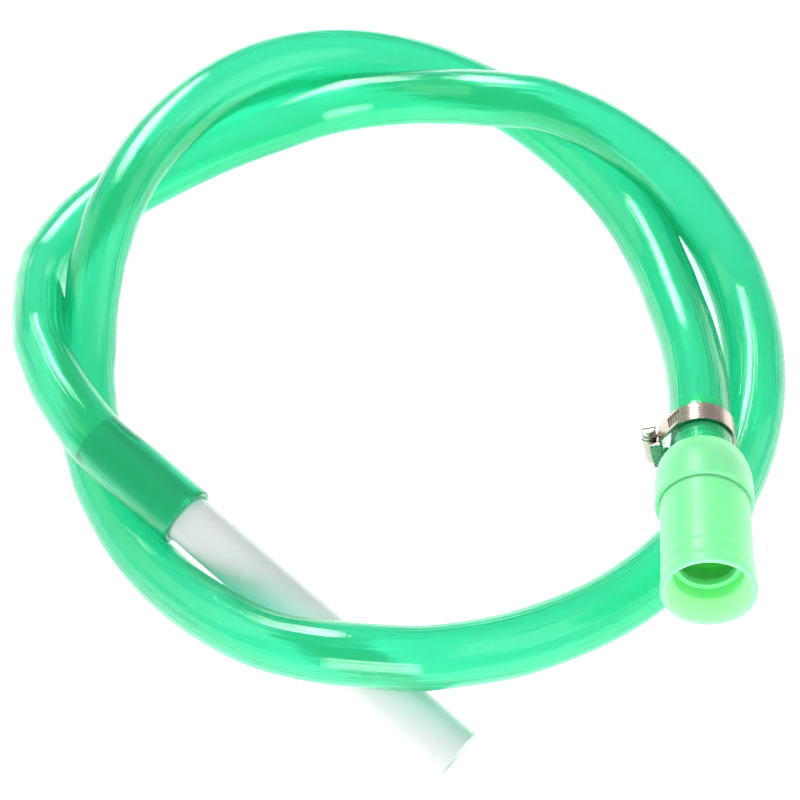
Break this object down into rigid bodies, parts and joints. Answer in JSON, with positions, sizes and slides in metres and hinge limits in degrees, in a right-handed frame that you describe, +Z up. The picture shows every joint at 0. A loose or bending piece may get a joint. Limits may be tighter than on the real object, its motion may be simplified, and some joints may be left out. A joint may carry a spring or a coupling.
{
  "type": "self-priming siphon hose",
  "caption": "Translucent hose lying in a loose coil, with a clamped ball-valve priming head on one end and a rigid outlet pipe in the other.",
  "frame": {"origin": "centre of the open edge of the socket inside the valve head's mouth", "axes": "+Y runs back along the valve head as seen from above, +Z is up from the surface that the hose lies on, +X is to the right as seen from the mouth"},
  "size_m": [0.3325, 0.3597, 0.0767],
  "materials": {
    "head_shell": "light green moulded plastic, satin to glossy, slightly translucent",
    "head_barrel": "light green moulded plastic, satin to glossy, slightly translucent",
    "ball_steel": "polished steel ball, dark and warm inside the green chamber",
    "guard_plastic": "green moulded plastic",
    "seal_rubber": "black rubber ring",
    "hose_pvc": "clear green flexible PVC, glossy",
    "clamp_steel": "stainless steel strip, brushed",
    "screw_steel": "plated steel",
    "pipe_clear": "clear rigid plastic, slightly frosted"
  },
  "bodies": {
    "siphon": {"neck_shell": "head_shell", "inlet_barrel": "head_barrel", "ball_guard": "guard_plastic", "shell_seal": "seal_rubber", "hose": "hose_pvc", "clamp_band": "clamp_steel", "clamp_saddle": "clamp_steel", "clamp_housing": "clamp_steel", "outlet_pipe": "pipe_clear"},
    "ball": {"valve_ball": "ball_steel"},
    "screw": {"clamp_screw": "screw_steel"}
  },
  "joints": [
    {"name": "ball_slide", "type": "slide", "parent": "siphon", "child": "ball", "axis": [0, -0.9659, 0.2588], "range_m": [0, 0.018]},
    {"name": "clamp_screw_turn", "type": "hinge", "parent": "siphon", "child": "screw", "pos_m": [-0.01915, 0.07102, -0.02472], "axis": [0.2756, -0.2488, -0.9285], "range_deg": [-1440, 0]}
  ]
}
